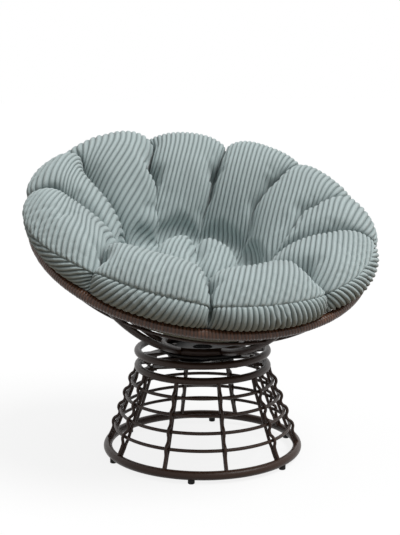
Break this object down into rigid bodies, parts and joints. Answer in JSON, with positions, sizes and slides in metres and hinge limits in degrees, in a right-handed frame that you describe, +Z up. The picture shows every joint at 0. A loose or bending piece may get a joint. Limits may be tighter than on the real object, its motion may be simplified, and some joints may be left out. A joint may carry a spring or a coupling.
{
  "type": "swivel papasan chair",
  "caption": "Lounge chair with a round tufted corduroy cushion in a tilted bowl of bent tube, on a caged tube base with a ball-bearing swivel.",
  "frame": {"origin": "on the floor, on the swivel axis, at the middle of the footprint", "axes": "+Z is up. -Y is the way the seat faces at rest. +X is the sitter's left"},
  "size_m": [1.0545, 0.9926, 0.9556],
  "materials": {
    "frame_paint": "satin dark brown powder coat",
    "swivel_paint": "satin near-black paint",
    "bearing_steel": "plain steel",
    "fixing_steel": "zinc-plated steel",
    "foot_rubber": "matt black",
    "wicker": "brown resin strand wound side by side",
    "corduroy": "wide-wale grey-green corduroy"
  },
  "bodies": {
    "base": {"base_ring": "frame_paint", "base_top_ring": "frame_paint", "base_hoop_1": "frame_paint", "base_hoop_2": "frame_paint", "base_hoop_3": "frame_paint", "base_hoop_4": "frame_paint", "upright_01": "frame_paint", "upright_02": "frame_paint", "upright_03": "frame_paint", "upright_04": "frame_paint", "upright_05": "frame_paint", "upright_06": "frame_paint", "upright_07": "frame_paint", "upright_08": "frame_paint", "upright_09": "frame_paint", "upright_10": "frame_paint", "base_tabs": "frame_paint", "base_crossbar_front": "frame_paint", "base_crossbar_rear": "frame_paint", "feet": "foot_rubber", "foot_screws": "fixing_steel", "tab_bolts": "fixing_steel", "tab_nuts": "fixing_steel", "swivel_bottom_plate": "swivel_paint", "lower_race": "bearing_steel", "base_plate_bolts": "fixing_steel", "base_plate_nuts": "fixing_steel", "king_pin": "fixing_steel", "king_pin_nut": "fixing_steel"},
    "bearing": {"ball_cage": "bearing_steel", "bearing_balls": "bearing_steel"},
    "seat": {"seat_ring": "frame_paint", "seat_crossbar_front": "frame_paint", "seat_crossbar_rear": "frame_paint", "bowl_hub_plate": "frame_paint", "bowl_hub_ring": "frame_paint", "bowl_rib_1": "frame_paint", "bowl_rib_2": "frame_paint", "bowl_rib_3": "frame_paint", "bowl_rib_4": "frame_paint", "bowl_rib_5": "frame_paint", "bowl_rib_6": "frame_paint", "bowl_hoop_1": "frame_paint", "bowl_hoop_2": "frame_paint", "rim_tube": "frame_paint", "swivel_top_plate": "swivel_paint", "upper_race": "bearing_steel", "seat_spacers": "fixing_steel", "seat_bolts": "fixing_steel", "seat_nuts": "fixing_steel", "rim_wrap": "wicker", "seat_cushion": "corduroy"}
  },
  "joints": [
    {"name": "swivel", "type": "hinge", "parent": "base", "child": "seat", "pos_m": [0, 0, 0.295], "axis": [0, 0, 1], "continuous": true},
    {"name": "ball_cage_turn", "type": "hinge", "parent": "base", "child": "bearing", "pos_m": [0, 0, 0.295], "axis": [0, 0, 1], "continuous": true}
  ],
  "couplings": [
    {"joint": "ball_cage_turn", "follows": "swivel", "ratio": 0.5}
  ]
}
